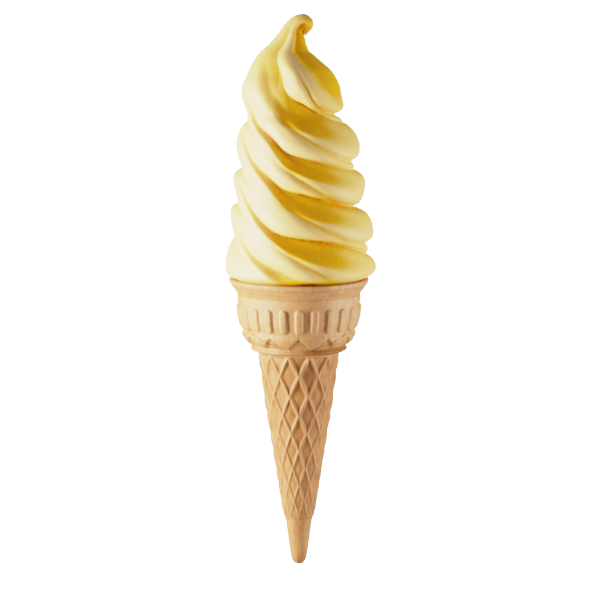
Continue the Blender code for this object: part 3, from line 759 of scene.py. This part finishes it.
def scallops(azimuth, height):
    # the cup's foot comes down in rounded lobes between pointed facets
    pitch = wafer["lobePitch"]
    away = np.abs(apart(azimuth, turn=pitch)) / (pitch / 2)
    down = np.clip((wafer["lobeTop"] - height) / wafer["lobeDeep"], 0, 1)
    away = away - wafer["lobeSlant"] * down ** wafer["lobePower"]
    lobe = easedStep(away, *wafer["lobeSide"]) * easedStep(height, *wafer["lobeFrom"])
    lobe = lobe * easedDrop(height, *wafer["lobeUntil"])
    edge = bell(away, *wafer["edge"]) * easedDrop(height, *wafer["edgeUntil"])
    edge = edge * easedStep(height, *wafer["edgeFrom"])
    return lobe, edge


def swagsAt(azimuth, height):
    # fine curved lines that climb round the cup's foot, away from a few low points
    pitch = wafer["swagPitch"]
    sweep = np.abs(apart(azimuth, turn=pitch)) / (pitch / 2)
    climb = wafer["swagRise"] * sweep ** wafer["swagPower"]
    return bell(height - climb, *wafer["swag"]) * easedStep(sweep, *wafer["swagFrom"])


batter = {
    # from a floury bloom to dark crust and deep painted shade
    "colours": [(0.0, "#d29556"), (0.6, "#b8763a"), (1.0, "#96571a")],
    "streaks": (1, 0.3, 1),     # they run along the cone
    "streakSize": 600.0, "streakiness": 1.6, "poreSize": 900.0, "grainSize": 700.0,
    "bump": 0.3, "roughness": 0.62, "bloom": "#f0dcc0",
    # the gloss, and how brown with crust and shade it is where the gloss starts to fade and where it
    # is least
    "glossWherePale": 0.95, "glossWhereBrown": 0.3, "pale": 0.3, "brown": 1.0,
    "poreWidth": 0.35,          # as a share of the room that each pore has
}


def bakedWafer():
    # cake cone batter baked in an iron mould: matt and slightly porous, browner with crust, and with
    # painted shade in its hollows, along its edges and on the side away from the window, with a
    # paler floury bloom
    material, tree = newMaterial("baked wafer")
    crustAndShade = addNode(tree, "ShaderNodeAttribute", attribute_name="crustAndShade")
    place = addNode(tree, "ShaderNodeTexCoord")
    streaky = addNode(tree, "ShaderNodeVectorMath", {0: place.outputs["Object"],
                                                     1: batter["streaks"]},
                      operation="MULTIPLY")
    cloudy = addNode(tree, "ShaderNodeTexNoise", {"Vector": streaky.outputs[0],
                                                  "Scale": batter["streakSize"],
                                                  "Detail": 6.0, "Roughness": 0.65})
    uneven = addNode(tree, "ShaderNodeMath", {0: cloudy.outputs["Fac"],
                                              1: batter["streakiness"],
                                              2: -batter["streakiness"] / 2},
                     operation="MULTIPLY_ADD")
    brown = addNode(tree, "ShaderNodeMath", {0: crustAndShade.outputs["Fac"], 1: uneven.outputs[0]},
                    operation="ADD")
    tint = addRamp(tree, brown.outputs[0], batter["colours"])
    dry = addNode(tree, "ShaderNodeMapRange", {"Value": crustAndShade.outputs["Fac"],
                                               1: batter["pale"], 2: batter["brown"],
                                               3: batter["glossWherePale"],
                                               4: batter["glossWhereBrown"]})
    pores = addNode(tree, "ShaderNodeTexVoronoi", {"Vector": place.outputs["Object"],
                                                   "Scale": batter["poreSize"]})
    pit = addNode(tree, "ShaderNodeMapRange", {"Value": pores.outputs["Distance"],
                                               1: 0.0, 2: batter["poreWidth"],
                                               3: 0.0, 4: 1.0})
    grain = addNode(tree, "ShaderNodeTexNoise", {"Vector": place.outputs["Object"],
                                                 "Scale": batter["grainSize"], "Detail": 4.0})
    rough = addNode(tree, "ShaderNodeMath", {0: grain.outputs["Fac"], 1: pit.outputs[0]},
                    operation="ADD")
    bump = addNode(tree, "ShaderNodeBump", {"Height": rough.outputs[0],
                                            "Strength": batter["bump"], "Distance": 0.0002})
    shader = addNode(tree, "ShaderNodeBsdfPrincipled", {
        "Base Color": tint.outputs["Color"], "Normal": bump.outputs[0],
        "Roughness": batter["roughness"], "IOR": 1.45, "Specular IOR Level": dry.outputs[0],
        "Subsurface Weight": 0.12, "Subsurface Radius": (1.0, 0.5, 0.2),
        "Subsurface Scale": 0.002, "Sheen Weight": 0.1, "Sheen Tint": linear(batter["bloom"]),
        "Sheen Roughness": 0.5})
    addNode(tree, "ShaderNodeOutputMaterial", {"Surface": shader.outputs[0]})
    return material


def waferFeatures(azimuth, height):
    # where everything is that stands out of the wall, and everything that is browner than it
    ridge, zone, strip = lattice(azimuth, height)
    lobes, edges = scallops(azimuth, height)
    finer = (through(height, wafer["cup"]) / wafer["fullRadius"]) ** wafer["finerPower"]
    cells = (1 - ridge) * zone * finer
    sideShade = bell(azimuth, *wafer["shadeSide"])
    ring = easedStep(height, *wafer["ringFrom"]) * easedDrop(height, *wafer["ringUntil"])
    swag = swagsAt(azimuth, height)
    waver = wafer["slitWaver"] * np.sin(np.radians(azimuth * wafer["slitWaves"]))
    slit = bell(height - waver, *wafer["slit"])
    ragged = sum(share * np.sin(np.radians(azimuth * waves + start))
                 for share, waves, start in wafer["ragged"])
    between = easedStep(height, *wafer["betweenFrom"]) * easedDrop(height, *wafer["betweenUntil"])
    relief = {"ridges": ridge * finer, "cells": zone * finer, "bars": barsAt(azimuth, height),
              "lobes": lobes, "edges": edges, "slit": slit, "swag": swag,
              "lines": np.sin(np.radians(azimuth * wafer["stripLines"])) * strip * zone,
              "ragged": ragged * easedStep(height, *wafer["raggedFrom"])}
    # browner with crust on the wall, the ring and the lower cone; crust and painted shade in the
    # cells; painted shade on the side away from the window, under the ring, under the lip, in the
    # slit, between the lobes, along their edges and the swags, and where the swirl sits on the rim
    crustAndShade = {"wall": 1, "cells": cells, "shadedCells": cells * sideShade, "ring": ring,
             "shadedRing": ring * sideShade, "ringShadeDarkest": ring * bell(azimuth, *wafer["ringShadeDarkest"]),
             "shoulder": bell(height, *wafer["shoulder"]), "slit": slit,
             "betweenLobes": between * (1 - lobes),
             "edges": edges * easedStep(height, *wafer["shadedEdgeFrom"]), "swag": swag,
             "rim": easedStep(height, *wafer["rimFrom"]) * bell(azimuth, *wafer["rimShadeDarkest"]),
             "lowerCone": easedDrop(height, *wafer["lowerConeUntil"])}
    return relief, crustAndShade


def addWafer():
    azimuth = np.arange(wafer["sides"])[None, :] * 360 / wafer["sides"] - 180
    rows = [np.linspace(start, end, number, endpoint=False)
            for start, end, number in wafer["outerRows"]]
    rows = np.concatenate(rows + [wafer["tipRows"]])
    azimuth, height = np.broadcast_arrays(azimuth, rows[:, None])
    reliefs, crustAndShades = waferFeatures(azimuth, height)
    radius = through(height, wafer["cup"])
    radius = radius + sum(wafer["relief"][name] * field for name, field in reliefs.items())
    crustAndShade = sum(wafer["crustAndShade"][name] * field for name, field in crustAndShades.items())
    angle = np.radians(azimuth)
    outside = np.stack([radius * np.sin(angle), height, radius * np.cos(angle)], -1)
    inner = np.array(wafer["hollow"][::-1])
    inside = np.stack([inner[:, 1:] * np.sin(angle[0]), inner[:, :1] + 0 * angle[0],
                       inner[:, 1:] * np.cos(angle[0])], -1)
    grid = np.vstack([inside, outside])
    crustAndShade = np.vstack([np.full(inside.shape[:2], wafer["insideToast"]), crustAndShade])
    thing = skin("waferCone", grid, wafer["innerEnd"], wafer["tip"], bakedWafer(),
                 {"crustAndShade": crustAndShade})
    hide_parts("wafer_cone")
    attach(thing, "root")
    return thing


# everything is made here
addCamera()
addWorld()
floor = addFloor()
print("camera, room and floor done")
softServe = addSwirl()
print("swirl done")
waferCone = addWafer()
print("wafer done")
for name, values in lights.items():
    linkLight(addLight(name, **values), [softServe, waferCone], name + "Reach")
linkLight(addPaperSun(), [floor], "paperSunReach")
softShoulder()
print("lights done")
